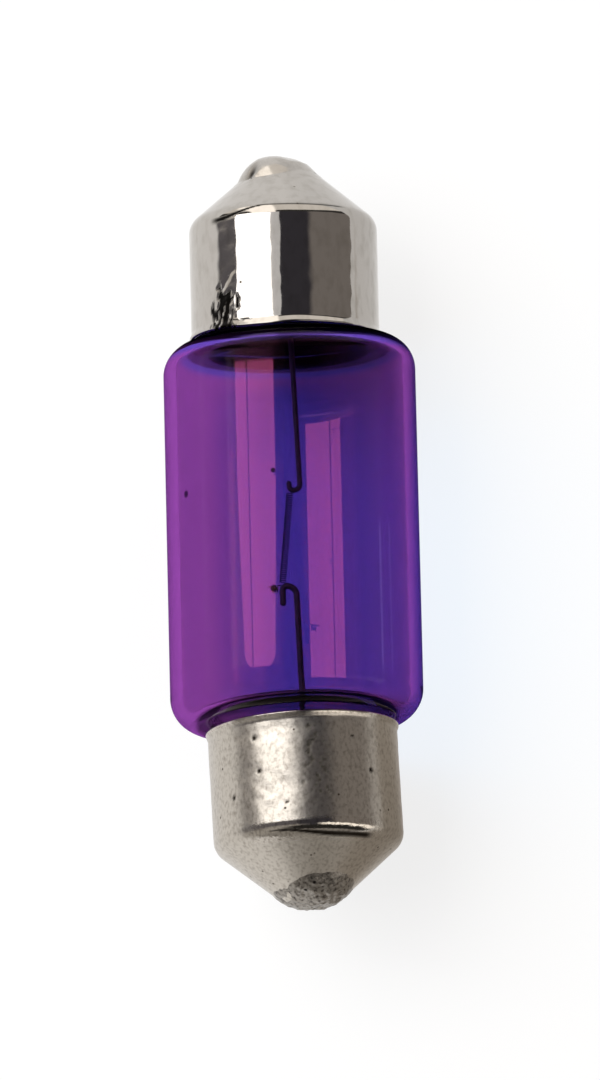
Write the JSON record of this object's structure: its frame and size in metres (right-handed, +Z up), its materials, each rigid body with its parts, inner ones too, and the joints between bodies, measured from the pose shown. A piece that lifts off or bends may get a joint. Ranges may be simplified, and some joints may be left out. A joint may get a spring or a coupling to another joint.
{
  "type": "festoon bulb",
  "caption": "Tubular festoon bulb in purple glass with a coned metal cap on each end and a coiled filament hung between hooked wires.",
  "frame": {"origin": "half-way between the two solder tips, on the axis of the glass tube", "axes": "+Y along the glass tube towards the upper cap, +Z up, +X to the right"},
  "size_m": [0.0113, 0.0342, 0.0112],
  "materials": {
    "purple_glass": "clear purple tinted glass",
    "nickel_plate": "bright nickel plate, worn and pitted",
    "solder": "dull grey cast solder",
    "basing_cement": "matt brown cement",
    "lead_wire": "oxidised dark wire",
    "tungsten": "drawn tungsten wire"
  },
  "bodies": {
    "root": {"glass_envelope": "purple_glass", "upper_cap": "nickel_plate", "lower_cap": "nickel_plate", "upper_solder": "solder", "lower_solder": "solder", "upper_cement": "basing_cement", "lower_cement": "basing_cement", "upper_lead_wire": "lead_wire", "lower_lead_wire": "lead_wire", "filament": "tungsten"}
  },
  "joints": []
}
